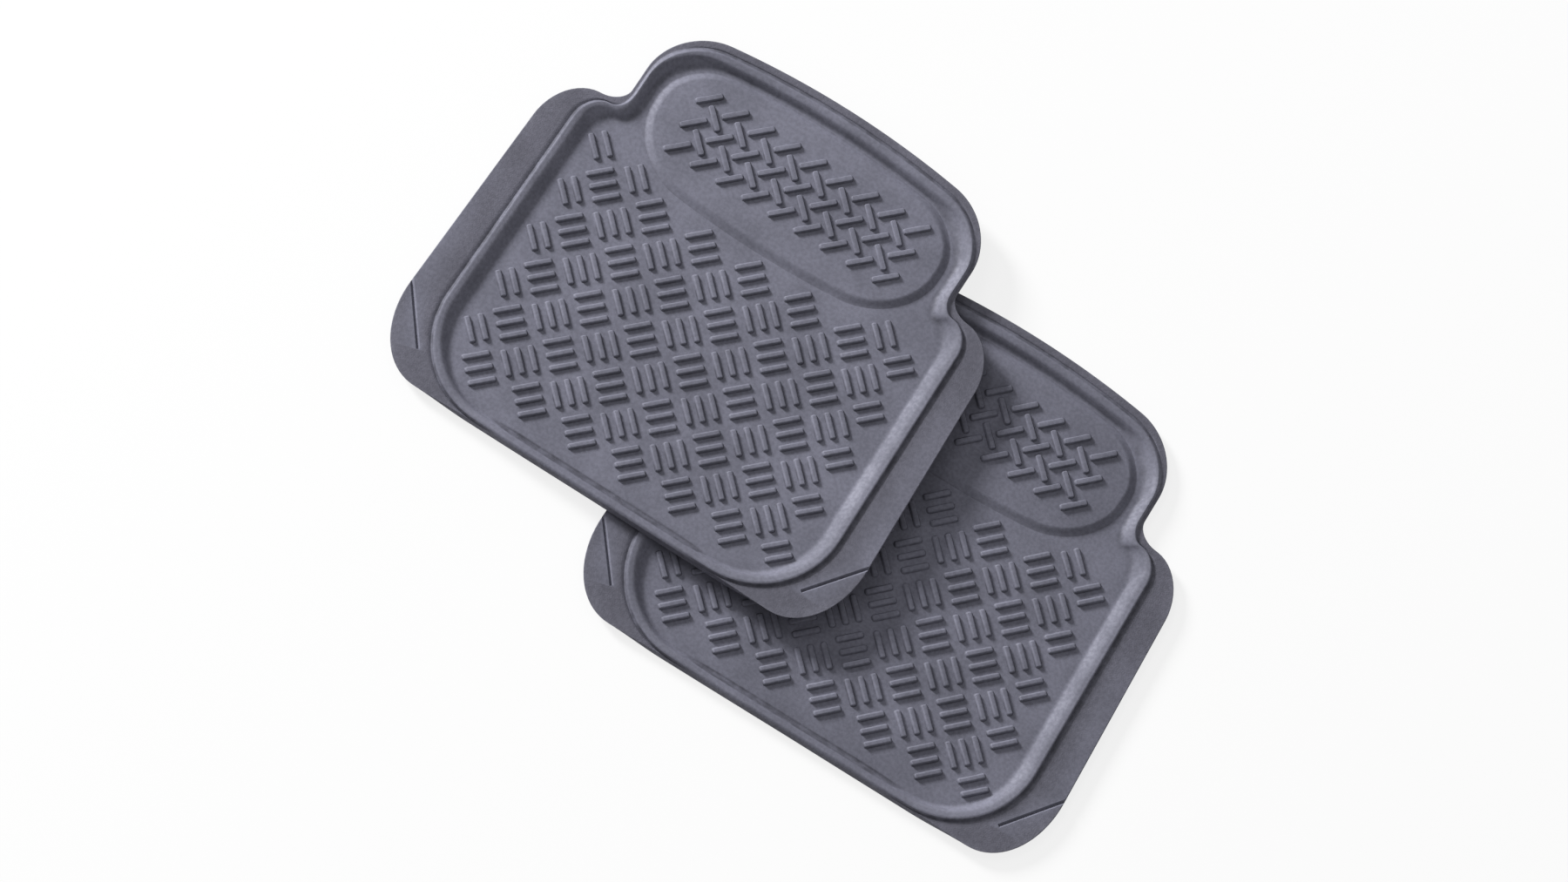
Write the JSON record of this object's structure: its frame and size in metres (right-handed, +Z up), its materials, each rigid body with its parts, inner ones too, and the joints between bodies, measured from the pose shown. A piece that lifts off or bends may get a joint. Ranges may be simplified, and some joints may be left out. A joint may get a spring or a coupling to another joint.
{
  "type": "floor mat set",
  "caption": "Moulded rubber footwell mats with a raised rim, flat trimmable flanges, a toe pad and a woven rib tread, laid overlapping.",
  "frame": {"origin": "on the ground, under the middle of the pair's bounding box", "axes": "+Z up; +Y from the heel edge to the toe edge of the upper mat; +X across, towards the lower mat"},
  "size_m": [0.8614, 0.6176, 0.0316],
  "materials": {
    "lower_mat_rubber": "matt moulded rubber",
    "upper_mat_rubber": "matt moulded rubber"
  },
  "bodies": {
    "lower_mat": {"lower_mat": "lower_mat_rubber"},
    "upper_mat": {"upper_mat": "upper_mat_rubber"}
  },
  "joints": [
    {"name": "upper_mat_lift", "type": "slide", "parent": "lower_mat", "child": "upper_mat", "axis": [0, 0, 1], "range_m": [0, 0.2]}
  ]
}
